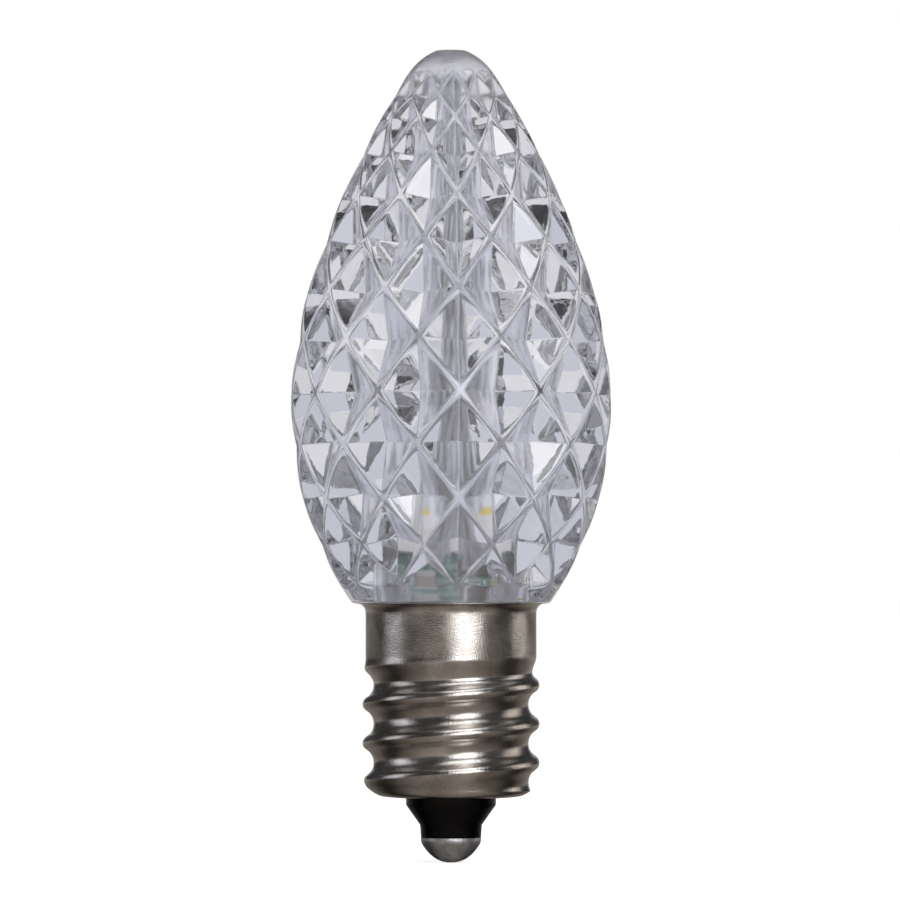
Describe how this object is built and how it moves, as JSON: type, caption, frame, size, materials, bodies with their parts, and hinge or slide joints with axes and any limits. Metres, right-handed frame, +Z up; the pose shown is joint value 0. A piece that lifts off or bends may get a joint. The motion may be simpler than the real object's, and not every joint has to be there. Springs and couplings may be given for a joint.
{
  "type": "screw-base light bulb",
  "caption": "Faceted clear LED lamp for a festive light string, with a candelabra screw base.",
  "frame": {"origin": "lowest point of the solder on the base's tip, on the screw's axis", "axes": "+Z up along the screw's axis from the tip to the crown of the clear cover; -Y faces the board's front"},
  "size_m": [0.0208, 0.0208, 0.0531],
  "materials": {
    "clear_plastic": "polished clear plastic with a faint grey tint",
    "nickel_plate": "satin nickel plate on brass sheet",
    "black_glass": "gloss, opaque",
    "solder": "soft tin solder, slightly dull",
    "contact_brass": "plain stamped brass",
    "board_laminate": "green solder mask on glass-fibre laminate",
    "white_plastic": "white moulded package",
    "phosphor": "silicone filled with yellow phosphor",
    "tinned_copper": "tinned copper",
    "capacitor_ceramic": "fired tan ceramic",
    "resistor_ceramic": "black coated chip",
    "black_plastic": "black moulding compound",
    "adhesive": "translucent yellowish adhesive"
  },
  "bodies": {
    "root": {"cover": "clear_plastic", "screw_shell": "nickel_plate", "insulator": "black_glass", "tip_solder": "solder", "centre_contact": "contact_brass", "circuit_board": "board_laminate", "led_package": "white_plastic", "led_phosphor": "phosphor", "led_terminals": "tinned_copper", "smoothing_capacitor": "capacitor_ceramic", "dropper_capacitor": "capacitor_ceramic", "limiting_resistor": "resistor_ceramic", "bleed_resistor": "resistor_ceramic", "bridge_rectifier": "black_plastic", "rectifier_leads": "tinned_copper", "live_lead": "tinned_copper", "neutral_lead": "tinned_copper", "lead_joints": "solder", "adhesive_dab": "adhesive"}
  },
  "joints": []
}
